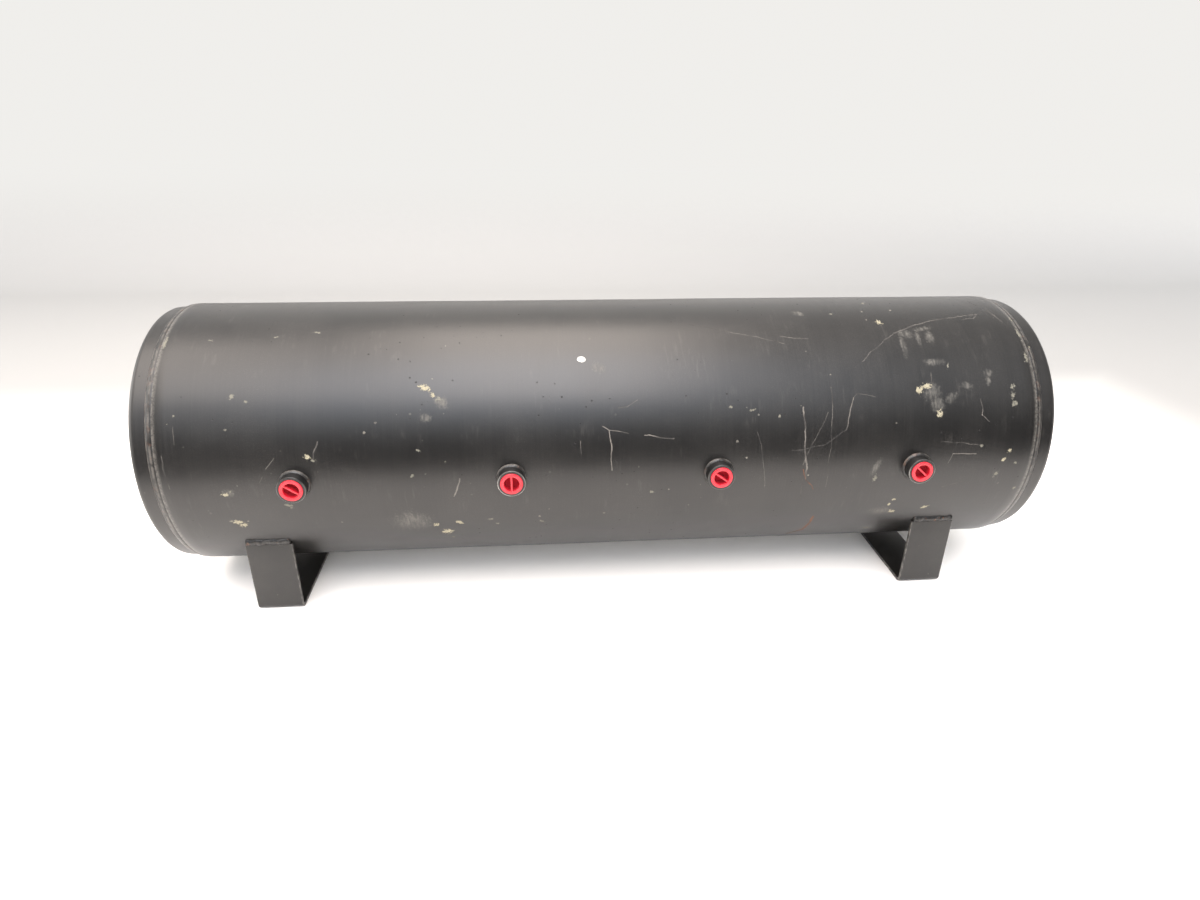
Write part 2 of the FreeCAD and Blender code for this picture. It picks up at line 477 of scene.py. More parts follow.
# wear on the shell: places are metres along the tank, and metres up round it from the socket row
wearMarks = {
    # x, up, half width, half height, turn in degrees
    "white": [(-0.047, 0.174, 0.01, 0.008, 0)],
    "cream": [
        (-0.269, 0.134, 0.013, 0.0075, -30), (-0.257, 0.122, 0.008, 0.004, -45),
        (-0.431, 0.04, 0.0065, 0.006, 0), (-0.549, -0.012, 0.0085, 0.004, 5),
        (-0.544, -0.064, 0.012, 0.0065, -8), (-0.538, -0.071, 0.008, 0.006, 20),
        (-0.252, -0.104, 0.0125, 0.0105, 15), (-0.266, -0.084, 0.0065, 0.005, 20),
        (-0.23, -0.081, 0.008, 0.0045, -25), (0.417, 0.239, 0.008, 0.0065, -25),
        (0.452, 0.117, 0.0085, 0.0075, 40), (0.463, 0.122, 0.01, 0.006, 10),
        (0.481, 0.079, 0.0075, 0.0085, 0), (0.432, -0.061, 0.006, 0.0035, 20),
        (0.427, -0.072, 0.005, 0.0035, 40), (0.438, -0.09, 0.0095, 0.0055, 0),
        (0.489, -0.081, 0.01, 0.0045, 22), (0.588, 0.008, 0.006, 0.0045, 45),
        (0.596, 0.021, 0.0055, 0.0035, 20),
    ],
    "pale": [
        (-0.25, 0.116, 0.006, 0.004, 0), (-0.424, 0.035, 0.006, 0.003, -10),
        (-0.541, -0.008, 0.003, 0.003, 0), (-0.552, -0.06, 0.006, 0.0035, 0),
        (-0.245, -0.124, 0.005, 0.004, 0), (-0.184, -0.076, 0.007, 0.003, 15),
        (-0.176, -0.087, 0.004, 0.003, 0), (-0.11, -0.085, 0.006, 0.003, -30),
        (-0.467, -0.036, 0.0095, 0.0042, -25), (-0.531, 0.127, 0.006, 0.0055, 30),
        (-0.511, 0.118, 0.004, 0.003, 0), (-0.606, 0.102, 0.003, 0.003, 0),
        (-0.537, 0.082, 0.0035, 0.003, 0), (-0.279, 0.045, 0.005, 0.0025, -30),
        (-0.291, 0.008, 0.005, 0.003, 40), (-0.243, 0.029, 0.003, 0.0025, 0),
        (0.054, -0.031, 0.0055, 0.003, 0), (0.167, 0.098, 0.005, 0.0025, 0),
        (0.199, 0.093, 0.007, 0.0025, 10), (0.238, 0.083, 0.0035, 0.003, 0),
        (0.419, -0.147, 0.012, 0.004, 4), (0.392, -0.018, 0.005, 0.0095, -20),
        (0.582, -0.018, 0.0035, 0.008, -20), (0.609, 0.001, 0.005, 0.0025, 0),
        (0.622, -0.045, 0.0035, 0.0045, 0), (0.549, 0.031, 0.005, 0.0035, 0),
        (0.501, 0.152, 0.0025, 0.008, -15), (0.348, 0.262, 0.004, 0.0035, 0),
        (0.413, 0.3, 0.006, 0.0035, 0), (-0.425, 0.231, 0.008, 0.003, 0),
        (-0.481, 0.222, 0.005, 0.0025, 10), (-0.57, 0.218, 0.005, 0.0025, -20),
        (0.631, 0.24, 0.003, 0.01, 0), (-0.63, 0.215, 0.003, 0.02, 0), (0.63, 0.21, 0.003, 0.016, 0),
        (0.629, 0.166, 0.0035, 0.012, 0), (0.596, 0.12, 0.006, 0.006, 0),
        (0.595, 0.106, 0.005, 0.0075, -15), (0.598, 0.093, 0.006, 0.007, 30),
    ],
    "chalk": [
        (0.45, 0.212, 0.018, 0.013, -15), (0.44, 0.19, 0.007, 0.028, 0), (0.468, 0.203, 0.006, 0.02, 0),
        (0.486, 0.205, 0.01, 0.018, 0), (0.48, 0.222, 0.022, 0.007, 10), (0.47, 0.112, 0.02, 0.022, 0),
        (0.478, 0.094, 0.016, 0.022, 20), (0.5, 0.104, 0.016, 0.01, 40), (0.482, 0.16, 0.024, 0.008, 0),
        (0.524, 0.122, 0.014, 0.009, 0), (0.562, 0.14, 0.01, 0.01, 0), (0.56, 0.129, 0.007, 0.01, 0),
        (-0.022, 0.16, 0.014, 0.012, -30), (-0.245, 0.112, 0.016, 0.012, -30),
        (-0.268, 0.092, 0.012, 0.009, 0), (0.418, -0.088, 0.026, 0.014, 10),
        (0.296, 0.266, 0.012, 0.014, 40), (-0.545, -0.01, 0.014, 0.01, 0),
        (0.39, 0.0, 0.008, 0.022, -25), (-0.3, -0.075, 0.04, 0.03, 0),
    ],
    # x and up of the first point, then x, up and the stretch's width at each next one
    "strong": [
        ((-0.021, 0.074), (-0.01, 0.067, 0.0022)), ((-0.012, 0.068), (0.017, 0.063, 0.0018)),
        ((-0.01, 0.066), (-0.008, 0.009, 0.0024)), ((0.04, 0.059), (0.083, 0.054, 0.0024)),
        ((0.274, 0.094), (0.277, 0.044, 0.003), (0.284, -0.016, 0.0034)),
        ((-0.416, 0.061), (-0.422, 0.046, 0.0024), (-0.424, 0.036, 0.002)),
        ((-0.225, 0.002), (-0.234, -0.027, 0.003)), ((0.343, 0.081), (0.349, 0.107, 0.0026)),
        ((0.337, 0.061), (0.343, 0.081, 0.002)), ((0.547, 0.075), (0.546, 0.1, 0.0022)),
        ((0.507, 0.02), (0.543, 0.019, 0.0018)),
    ],
    "faint": [
        ((0.258, 0.03), (0.282, 0.034, 0.0018), (0.305, 0.038, 0.0018), (0.321, 0.048, 0.0018),
         (0.337, 0.061, 0.0018)), ((0.349, 0.107), (0.356, 0.113, 0.0016), (0.383, 0.108, 0.0014)),
        ((0.283, -0.048), (0.279, -0.016, 0.002)),
        ((0.276, 0.007), (0.287, 0.037, 0.0018), (0.311, 0.085, 0.0018)),
        ((0.318, 0.123), (0.316, 0.043, 0.0014), (0.317, -0.03, 0.0012)),
        ((0.37, 0.163), (0.396, 0.187, 0.0018), (0.431, 0.213, 0.002), (0.467, 0.23, 0.0024),
         (0.511, 0.244, 0.0026), (0.554, 0.252, 0.0026), (0.584, 0.257, 0.0024),
         (0.572, 0.246, 0.0018), (0.555, 0.244, 0.0016)), ((0.607, 0.272), (0.615, 0.235, 0.0024)),
        ((0.593, 0.306), (0.598, 0.287, 0.0022)),
        ((0.119, 0.24), (0.219, 0.209, 0.0022), (0.258, 0.197, 0.0016)),
        ((0.253, 0.21), (0.296, 0.206, 0.0022)),
        ((0.031, 0.109), (0.016, 0.1, 0.0018), (0.004, 0.099, 0.002)),
        ((-0.052, 0.053), (-0.052, 0.035, 0.002)), ((0.213, 0.036), (0.224, -0.029, 0.0014)),
        ((-0.605, 0.087), (-0.605, 0.064, 0.0012)), ((-0.623, 0.048), (-0.62, -0.001, 0.0018)),
        ((-0.475, 0.04), (-0.488, 0.025, 0.0016)), ((-0.494, 0.013), (-0.51, -0.007, 0.0016)),
        ((0.502, 0.004), (0.507, 0.02, 0.0016)),
        ((0.485, 0.039), (0.521, 0.036, 0.0014), (0.549, 0.031, 0.0014)),
        ((0.503, -0.039), (0.532, -0.029, 0.0018)), ((0.205, 0.06), (0.213, 0.036, 0.0014)),
        ((0.547, 0.075), (0.559, 0.067, 0.0016)), ((0.473, 0.143), (0.472, 0.124, 0.0016)),
    ],
    "rust": [
        ((0.278, -0.001), (0.284, -0.016, 0.0022), (0.299, -0.035, 0.0022)),
        ((0.314, -0.098), (0.314, -0.124, 0.0045), (0.309, -0.145, 0.006), (0.292, -0.168, 0.0055)),
    ],
}


def mostInside(fields):
    # each field is made just before it is joined, so Cycles holds only a few values at once
    total = -1.0
    for field in fields:
        total = mathOf('MAXIMUM', field, total)
    return total


def spotsOf(place, marks):
    return mostInside((
        groupOf(spotGroup, Place=place, Centre=(x, up, 0), Size=(wide, tall, 1),
                Turn=math.radians(-turn)) for x, up, wide, tall, turn in marks))


def linesOf(place, marks):
    return mostInside((
        groupOf(scratchGroup, Place=place, From=(*start[:2], 0), To=(x, up, 0), Width=width)
        for run in marks for start, (x, up, width) in zip(run, run[1:])))


def chipsOf(place, spacing, size, rarity, ragged):
    return groupOf(chipGroup, Position=place, Spacing=spacing, Size=size, Rarity=rarity,
                   Ragged=ragged)


def streaksOf(place, pitch, reach):
    return groupOf(streakGroup, Position=place, Pitch=pitch, Reach=reach)


def raggedMask(inside, rough, amount, low, high):
    # a field of marks cut off along an uneven edge
    pushed = mathOf('MULTIPLY_ADD', minus(rough, 0.5), amount, inside)
    return rangeOf(pushed, low, high)


def makeTankPaint(name, worn):
    material, shader, place = newMaterial(name)
    s = paintSettings
    fine = streaksOf(place, 0.0024, 0.22)
    broad = streaksOf(place, 0.018, 0.30)
    blotch = noiseOf(place, 9.0, 4.0, 0.55)
    grain = noiseOf(place, 850.0, 2.0, 0.6)
    patchy = noiseOf(place, 300.0, 3.0, 0.68)
    tone = mixOf(0.5, mixOf(0.45, fine, broad, 'FLOAT'), blotch, 'FLOAT')
    colour = mixOf(rangeOf(tone, 0.38, 0.62), s["black"], s["greyed"])
    dusty = product(rangeOf(grain, 0.50, 0.80), rangeOf(blotch, 0.35, 0.70, 0.02, 0.09))
    colour = mixOf(dusty, colour, s["dust"])
    brushed = streaksOf(place, 0.005, 0.035)
    scuffed = product(rangeOf(brushed, 0.50, 0.72), rangeOf(noiseOf(place, 21.0, 3.0, 0.6), 0.50, 0.68))
    colour = mixOf(product(scuffed, 0.45), colour, s["scuff"])
    rough = rangeOf(tone, 0.35, 0.65, *s["roughness"])
    height = mathOf('MULTIPLY_ADD', fine, 0.35, product(grain, 0.25))

    if worn:
        # paint rubbed thin along the cut ends of the shell, and paler there as a painted highlight band
        fromEnd = minus(halfLength, mathOf('ABSOLUTE', partsOf(place)[0]))
        rubbed = product(rangeOf(fromEnd, s["edgeBand"], 0.001), rangeOf(patchy, 0.35, 0.62, 0.25, 1.0))
        colour = mixOf(rubbed, colour, s["edgeRubAndGlint"])
    # small dull dimpled pits, their colour darkened as painted shade
    pitted = rangeOf(noiseOf(place, 6.5, 2.0, 0.5), 0.45, 0.60)
    pits = chipsOf(place, *s["pitSpread"])
    pits = product(pits, pitted)
    colour = mixOf(pits, colour, s["pitShade"])
    height = mathOf('MULTIPLY_ADD', pits, -1.5, height)
    flecks = chipsOf(place, *s["fleckSpread"])
    flecks = product(flecks, rangeOf(noiseOf(place, 12.0, 2.0, 0.6), 0.42, 0.62, 0.15, 1.0))
    colour = mixOf(product(flecks, 0.75), colour, s["fleck"])
    chips = chipsOf(place, *s["chipSpread"])
    chips = product(chips, rangeOf(patchy, 0.40, 0.55))
    colour = mixOf(chips, colour, s["pale"])
    dull = mostInside([pits, chips, flecks])

    if worn:
        flat = groupOf(unrollGroup, Position=place)
        sway = vectorOf('SUBTRACT', noiseOf(place, 40.0, 2.0, 0.5, 'Color'), (0.5, 0.5, 0.5))
        bent = vectorOf('ADD', flat, vectorOf('SCALE', sway, 0.0075))
        bent = joinOf(*partsOf(bent)[:2])
        smears = streaksOf(place, 0.004, 0.02)
        fading = rangeOf(noiseOf(place, 34.0, 2.0, 0.6), 0.36, 0.62, 0.22, 1.0)
        chalk = raggedMask(spotsOf(bent, wearMarks["chalk"]), patchy, 1.2, 0.10, 0.95)
        chalk = product(chalk, rangeOf(smears, 0.34, 0.68, 0.15, 0.70))
        colour = mixOf(chalk, colour, s["chalk"])
        faint = raggedMask(linesOf(bent, wearMarks["faint"]), patchy, 1.6, 0.15, 0.75)
        colour = mixOf(product(faint, fading, s["faintShare"]), colour, s["scratchAndGlint"])
        strong = raggedMask(linesOf(bent, wearMarks["strong"]), patchy, 1.4, 0.10, 0.65)
        colour = mixOf(product(strong, fading, s["strongShare"]), colour, s["scratchAndGlint"])
        rusty = raggedMask(linesOf(bent, wearMarks["rust"]), patchy, 1.6, 0.10, 0.80)
        colour = mixOf(product(rusty, fading, s["rustShare"]), colour, s["rust"])
        pale = raggedMask(spotsOf(bent, wearMarks["pale"]), patchy, 2.6, 0.25, 0.75)
        colour = mixOf(product(pale, 0.85), colour, s["pale"])
        cream = raggedMask(spotsOf(bent, wearMarks["cream"]), patchy, 2.4, 0.32, 0.62)
        colour = mixOf(product(cream, rangeOf(grain, 0.3, 0.7, 0.55, 1.0)), colour, s["cream"])
        white = raggedMask(spotsOf(flat, wearMarks["white"]), patchy, 0.6, 0.38, 0.46)
        colour = mixOf(white, colour, s["bright"])
        dull = mostInside([dull, chalk, faint, strong, rusty, pale, cream, white])
    setFinish(shader, colour, mixOf(dull, rough, s["dullness"], 'FLOAT'), height, s["bump"])
    return material


shellPaint = makeTankPaint("shellPaint", True)
headPaint = makeTankPaint("headPaint", False)


weldPaintSettings = {
    "fleckSpread": (0.016, 0.0024, 0.82, 0.0020),
    "roughness": (0.34, 0.48),
    "bump": 0.00035,
}


def makeWeldPaint(name, rubAndGlintLine, rustShare):
    # paint over weld: darker where the bump sinks, paler and dustier where it rises, with chipped flecks
    material, shader, place = newMaterial(name)
    s, own = paintSettings, weldPaintSettings
    coarse = noiseOf(place, 95.0, 3.0, 0.6)
    ripple = noiseOf(place, 480.0, 2.0, 0.5)
    colour = mixOf(rangeOf(coarse, 0.4, 0.7), s["black"], s["greyed"])
    dusty = product(rangeOf(ripple, 0.45, 0.75), rangeOf(coarse, 0.35, 0.65, 0.01, 0.16))
    colour = mixOf(dusty, colour, s["dust"])
    flecks = chipsOf(place, *own["fleckSpread"])
    colour = mixOf(product(flecks, 0.7), colour, s["cream"])
    rusty = product(rangeOf(noiseOf(place, 85.0, 3.0, 0.65), 0.56, 0.66), rustShare)
    colour = mixOf(rusty, colour, s["rust"])
    # the caller's line is rubbed paint that is partly a painted highlight
    if rubAndGlintLine:
        rubAndGlintBand = product(rubAndGlintLine(place), rangeOf(coarse, 0.38, 0.60, 0.15, 0.85))
        colour = mixOf(rubAndGlintBand, colour, s["scratchAndGlint"])
    roughness = rangeOf(coarse, 0.3, 0.7, *own["roughness"])
    height = mathOf('MULTIPLY_ADD', ripple, 0.35, coarse)
    setFinish(shader, colour, roughness, height, own["bump"])
    return material


footSettings = {
    "black": (0.0075, 0.0072, 0.0070, 1),
    "greyed": (0.0150, 0.0140, 0.0130, 1),
    "bareEdge": (0.115, 0.108, 0.098, 1),
    "edgeBand": 0.0020,
    "chipSpread": (0.045, 0.0032, 0.76, 0.0035),
    "fleckSpread": (0.014, 0.0014, 0.80, 0.0010),
    "thick": 0.0048,
    "bendInside": 0.005,
    "bendSteps": 12,
    "edgeRound": 0.0006,
    "roughness": (0.40, 0.50),
    "bump": 0.00010,
}


def makeFootPaint(centres, halfWidth):
    # black paint rubbed off along both edges of the bar
    material, shader, place = newMaterial("footPaint")
    s = footSettings
    x = partsOf(place)[0]
    broad = noiseOf(place, 26.0, 4.0, 0.6)
    patchy = noiseOf(place, 110.0, 3.0, 0.65)
    fine = noiseOf(place, 700.0, 2.0, 0.6)
    colour = mixOf(rangeOf(broad, 0.35, 0.7), s["black"], s["greyed"])
    toLeft = mathOf('ABSOLUTE', minus(x, centres[0]))
    toRight = mathOf('ABSOLUTE', minus(x, centres[1]))
    fromMiddle = mathOf('MINIMUM', toLeft, toRight)
    nearEdge = rangeOf(fromMiddle, halfWidth - s["edgeBand"], halfWidth - 0.0003)
    rubbed = product(nearEdge, rangeOf(patchy, 0.44, 0.62, 0.10, 0.90))
    colour = mixOf(rubbed, colour, s["bareEdge"])
    chips = chipsOf(place, *s["chipSpread"])
    colour = mixOf(product(chips, 0.8), colour, paintSettings["cream"])
    flecks = chipsOf(place, *s["fleckSpread"])
    colour = mixOf(product(flecks, 0.5), colour, paintSettings["fleck"])
    colour = mixOf(rangeOf(fine, 0.50, 0.85, 0.0, 0.06), colour, paintSettings["dust"])
    roughness = rangeOf(broad, 0.3, 0.7, *s["roughness"])
    setFinish(shader, colour, roughness, mathOf('MULTIPLY_ADD', broad, 2.0, fine), s["bump"])
    return material


socketSettings = {
    "black": (0.0060, 0.0060, 0.0064, 1),
    "bareRimAndGlint": (0.300, 0.290, 0.275, 1),
    "lineWidth": 0.0008,
    "rimWearAndGlint": (0.22, 1.0, 0.16, 0.50),
    "fleckSpread": (0.010, 0.0012, 0.78, 0.0010),
    "wall": 0.0038,
    "insideEnd": 0.006,
    "rimRound": 0.0011,
    "nearRim": 0.008,
    "mouthRound": 0.0005,
    "backChamfer": 0.0008,
    "roundSteps": 112,
    "roughness": (0.30, 0.42),
    "bump": 0.00010,
}

socketBoxes = [nodeBox(f"coupling_{i}") for i in range(1, 5)]
socketPlaces = [(low.x + high.x) / 2 for low, high in socketBoxes]
socketPitch = socketPlaces[1] - socketPlaces[0]
socketRadius = (socketBoxes[0][1].x - socketBoxes[0][0].x) / 2
socketFace = axisY - socketBoxes[0][0].y
socketZ = (socketBoxes[0][1].z + socketBoxes[0][0].z) / 2


def fromSocketAxis(place):
    # distance from the nearest socket's axis, the same for all four
    x, _, z = partsOf(place)
    shifted = minus(x, socketPlaces[0] - socketPitch / 2)
    local = minus(mathOf('FLOORED_MODULO', shifted, socketPitch), socketPitch / 2)
    level = minus(z, socketZ)
    return vectorOf('LENGTH', joinOf(local, level), wanted=1)


def makeSocketPaint():
    # black paint rubbed to bare steel along the rim's outer corner; the pale band is also a painted
    # highlight, strongest low down and on the second socket
    material, shader, place = newMaterial("socketPaint")
    s = socketSettings
    x, y, z = partsOf(place)
    patchy = noiseOf(place, 60.0, 3.0, 0.65)
    fine = noiseOf(place, 800.0, 2.0, 0.6)
    outFromFace = minus(y, axisY - socketFace)
    corner = joinOf(minus(fromSocketAxis(place), socketRadius - 0.0004),
                    minus(outFromFace, 0.0004))
    rubAndGlintBand = rangeOf(vectorOf('LENGTH', corner, wanted=1), s["lineWidth"] * 1.3, s["lineWidth"] * 0.6)
    wear = 0.0
    for centre, share in zip(socketPlaces, s["rimWearAndGlint"]):
        here = mathOf('COMPARE', x, centre, socketPitch / 2)
        wear = mathOf('MULTIPLY_ADD', here, share, wear)
    # heavier towards the lower side, where the pale band stands in for a painted highlight
    lower = rangeOf(z, socketZ + 0.017, socketZ - 0.006, 0.25, 1.0)
    bareAndGlint = product(rubAndGlintBand, rangeOf(patchy, 0.36, 0.58, 0.25, 1.0), wear, lower)
    colour = mixOf(rangeOf(patchy, 0.3, 0.7), s["black"], paintSettings["greyed"])
    flecks = chipsOf(place, *s["fleckSpread"])
    colour = mixOf(product(flecks, 0.6), colour, paintSettings["fleck"])
    colour = mixOf(bareAndGlint, colour, s["bareRimAndGlint"])
    connect(product(bareAndGlint, 0.5), shader.inputs['Metallic'])
    roughness = rangeOf(patchy, 0.3, 0.7, *s["roughness"])
    setFinish(shader, colour, roughness, mathOf('MULTIPLY_ADD', patchy, 1.5, fine), s["bump"])
    return material


plugSettings = {
    "red": (0.460, 0.0120, 0.0260, 1),
    "deepRed": (0.370, 0.0060, 0.0160, 1),
    "recessShadeRed": (0.330, 0.0020, 0.0110, 1),
    "scuff": (0.640, 0.160, 0.160, 1),
    "length": 0.015,
    "wall": 0.0052,
    "recess": 0.012,
    "rimRound": 0.0008,
    "web": 0.0028,
    "webDrop": 0.001,
    "webTurns": (35, 90, 36, 42),
    "webRound": 0.0005,
    "seat": 0.001,
    "backChamfer": 0.0016,
    "nearRim": 0.004,
    # up from the cup's floor and in from its wall
    "floorRound": ((0.004, 0.0001), (0.0012, 0.0003), (0.0004, 0.0008), (0.0, 0.0018)),
    "scuffSpread": (0.006, 0.0010, 0.86, 0.0016),
    "roundSteps": 112,
    "roughness": (0.30, 0.40),
    "sunkRoughness": 0.95,
    "bump": 0.00005,
}


def makePlugPlastic():
    material, shader, place = newMaterial("plugPlastic")
    s = plugSettings
    flow = noiseOf(place, 90.0, 3.0, 0.5)
    fine = noiseOf(place, 1200.0, 2.0, 0.6)
    colour = mixOf(rangeOf(flow, 0.35, 0.68), s["deepRed"], s["red"])
    # the red darkens deeper into the cup: painted shade in the recess
    sunk = rangeOf(partsOf(place)[1], axisY - socketFace + 0.0005, axisY - socketFace + 0.0075)
    colour = mixOf(sunk, colour, s["recessShadeRed"])
    scuffs = chipsOf(place, *s["scuffSpread"])
    colour = mixOf(product(scuffs, 0.4), colour, s["scuff"])
    gloss = rangeOf(flow, 0.3, 0.7, *s["roughness"])
    setFinish(shader, colour, mixOf(sunk, gloss, s["sunkRoughness"], 'FLOAT'), fine, s["bump"])
    return material


socketPaint = makeSocketPaint()
plugPlastic = makePlugPlastic()
print("finishes ready")


# shell

shellSettings = {
    "wall": 0.0048,
    "roundSteps": 256,
    "lengthSteps": 72,
    "edgeRound": 0.0006,
    "waves": ((0.30, 0.0007), (0.11, 0.0005)),  # size and height of each
    "holeClear": 0.0002,
    "holeDepth": 0.06,
    "holeSteps": 96,
}


def alongTank(distance):
    return Vector((distance, axisY, axisZ))


def makeShell():
    s = shellSettings
    inner = shellRadius - s["wall"]
    step = 2 * halfLength / s["lengthSteps"]
    profile = [(-halfLength + step * i, shellRadius) for i in range(s["lengthSteps"] + 1)]
    profile += [(halfLength, inner), (-halfLength, inner), (-halfLength, shellRadius)]
    piece = turnedPiece("shellTube", alongTank, profile, s["roundSteps"])
    unevenSkin(piece, s["waves"],
               lambda co: abs(co.x) < halfLength - 0.001 and fromAxis(co) > shellRadius - 0.001)
    roundEdges(piece, s["edgeRound"], 2, 60)
    for x in socketPlaces:
        clearSelection()
        bpy.ops.mesh.primitive_cylinder_add(
            vertices=s["holeSteps"], radius=socketRadius + s["holeClear"], depth=s["holeDepth"],
            location=(x, axisY - shellRadius, socketZ), rotation=(math.radians(90), 0, 0))
        cutWith(piece, bpy.context.object)
    finishPiece(piece, "shell", shellPaint, 40)
    print("shell made")


makeShell()


# heads and the welds round them

headSettings = {
    "inside": 0.020,
    "proud": 0.0248,
    "knuckle": 0.010,
    "crown": 2 * shellRadius,
    "wall": 0.0048,
    "roundSteps": 256,
    "knuckleSteps": 10,
    "crownSteps": 14,
    "waves": ((0.12, 0.0010),),
}

headLow, headHigh = nodeBox("head_left")
flangeRadius = (headHigh.y - headLow.y) / 2


def dishProfile(flange, knuckle, crown, openEnd, flangeEnd):
    # one skin of the head, from the open end to the pole
    s = headSettings
    rise = math.sqrt((crown - knuckle) ** 2 - (flange - knuckle) ** 2)
    turn = math.atan2(rise, flange - knuckle)
    points = [(openEnd, flange)]
    for i in range(s["knuckleSteps"] + 1):
        a = turn * i / s["knuckleSteps"]
        points.append((flangeEnd + knuckle * math.sin(a), flange - knuckle + knuckle * math.cos(a)))
    edge = math.pi / 2 - turn
    for i in range(1, s["crownSteps"]):
        a = edge * (1 - i / s["crownSteps"])
        points.append((flangeEnd - rise + crown * math.cos(a), crown * math.sin(a)))
    points.append((flangeEnd - rise + crown, 0))
    return points


def makeHeads():
    s = headSettings
    openEnd = halfLength - s["inside"]
    flangeEnd = halfLength + s["proud"]
    outer = dishProfile(flangeRadius, s["knuckle"], s["crown"], openEnd, flangeEnd)
    inner = dishProfile(flangeRadius - s["wall"], s["knuckle"] - s["wall"], s["crown"] - s["wall"],
                        openEnd, flangeEnd)
    master = turnedPiece("headMaster", alongTank, inner[::-1] + outer, s["roundSteps"])
    for end, side in (("Left", -1), ("Right", 1)):
        piece = copyTo(master, "head" + end, mirror=side < 0)
        unevenSkin(piece, s["waves"],
                   lambda co: side * co.x > flangeEnd - 0.004 and fromAxis(co) < flangeRadius - 0.0005)
        finishPiece(piece, "head_" + end.lower(), headPaint, 40)
    bpy.data.objects.remove(master)


makeHeads()
print("heads made")

headWeldSettings = {
    "reach": 0.0104,
    "sunk": 0.0005,
    "full": 0.0016,
    "faceSteps": 10,
    "roundSteps": 1000,
    "lumps": ((0.035, 0.0005), (0.008, 0.0006), (0.0030, 0.0003)),
}


def headWeldRubAndGlint(place):
    # rubbed paint along both toes of the head weld; the band on its crest is lighter as a painted
    # highlight too
    beyond = minus(mathOf('ABSOLUTE', partsOf(place)[0]), halfLength)
    crestRubAndGlint = product(rangeOf(beyond, 0.0014, 0.0030), rangeOf(beyond, 0.0058, 0.0042), 0.55)
    headToe = rangeOf(beyond, headWeldSettings["reach"] - 0.0026, headWeldSettings["reach"] - 0.0012)
    return mathOf('MAXIMUM', crestRubAndGlint, product(headToe, 0.9))


def makeHeadWelds():
    s = headWeldSettings
    paint = makeWeldPaint("headWeldPaint", headWeldRubAndGlint, 0.10)
    top = (halfLength, shellRadius - s["sunk"])
    end = (halfLength + s["reach"], flangeRadius)
    corner = (halfLength, flangeRadius)
    profile = [corner, top] + bulge(top, end, s["full"], s["faceSteps"]) + [end, corner]
    master = turnedPiece("headWeldMaster", alongTank, profile, s["roundSteps"])
    for end, side in (("Left", -1), ("Right", 1)):
        piece = copyTo(master, "headWeld" + end, mirror=side < 0)
        unevenSkin(piece, s["lumps"],
                   lambda co: side * co.x > halfLength + 0.0003 and fromAxis(co) > flangeRadius + 0.0003)
        finishPiece(piece, "head_weld_" + end.lower(), paint, 60)
    bpy.data.objects.remove(master)


makeHeadWelds()
print("head welds made")


# sockets, their welds and plugs

socketWeldSettings = {
    "reach": 0.0025,
    "height": 0.0029,
    "full": 0.0005,
    "buried": 0.0024,
    "faceSteps": 6,
    "roundSteps": 200,
    "lumps": ((0.012, 0.0007), (0.0045, 0.0005)),
}


def outFromTank(distance):
    return Vector((0, axisY - distance, socketZ))


def socketToeRubAndGlint(place):
    # the weld's outer toe, rubbed along its upper side, where the paler paint is also a painted highlight
    z = partsOf(place)[2]
    ring = rangeOf(fromSocketAxis(place), socketRadius + 0.0013, socketRadius + 0.0022)
    return product(ring, rangeOf(z, socketZ - 0.006, socketZ + 0.014), 0.55)


def makeSocketMaster():
    s = socketSettings
    bore = socketRadius - s["wall"]
    back = shellRadius - shellSettings["wall"] - s["insideEnd"]
    rim, mouth = s["rimRound"], s["mouthRound"]
    chamfer = s["backChamfer"]
    nearRim = socketFace - s["nearRim"]
    profile = [(back, bore), (back, socketRadius - chamfer), (back + chamfer, socketRadius),
               (nearRim, socketRadius)]
    profile += quarter((socketFace - rim, socketRadius - rim), rim, 90, 0, 5)
    profile += quarter((socketFace - mouth, bore + mouth), mouth, 0, -90, 4)
    profile += [(nearRim, bore), (back, bore)]
    return turnedPiece("socketMaster", outFromTank, profile, s["roundSteps"])


def makeSocketWeldMaster():
    s = socketWeldSettings
    inside, outside = socketRadius - 0.0001, socketRadius + s["reach"]
    bottom = shellRadius - s["buried"]
    top, toe = (shellRadius + s["height"], inside), (shellRadius - 0.0004, outside)
    profile = [(bottom, inside), top] + bulge(top, toe, -s["full"], s["faceSteps"])
    profile += [toe, (bottom, outside), (bottom, inside)]
    return turnedPiece("socketWeldMaster", outFromTank, profile, s["roundSteps"])


def makePlugMaster():
    s = plugSettings
    low, high = nodeBox("plug_1")
    radius = (high.x - low.x) / 2
    front = axisY - low.y
    back = front - s["length"]
    inner = radius - s["wall"]
    floor = front - s["recess"]
    rim, chamfer = s["rimRound"], s["backChamfer"]
    profile = [(back, 0), (back, radius * 0.5), (back, radius - chamfer),
               (back + chamfer, radius - 0.0002), (front - s["nearRim"], radius)]
    profile += quarter((front - rim, radius - rim), rim, 90, 0, 5)
    profile += quarter((front - rim, inner + rim), rim, 0, -90, 5)
    profile += [(floor + up, inner - inwards) for up, inwards in s["floorRound"]]
    profile += [(floor, inner * 0.4), (floor, 0)]
    plug = turnedPiece("plugMaster", outFromTank, profile, s["roundSteps"])
    webDepth = s["recess"] - s["webDrop"] + s["seat"]  # it starts a little inside the cup's floor
    clearSelection()
    bpy.ops.mesh.primitive_cube_add(
        size=1, location=outFromTank(floor - s["seat"] + webDepth / 2),
        scale=(2 * inner + 2.4 * s["seat"], webDepth, s["web"]))
    web = bpy.context.object
    applyPlace(web)
    roundEdges(web, s["webRound"])
    cutWith(plug, web, 'UNION')
    return plug


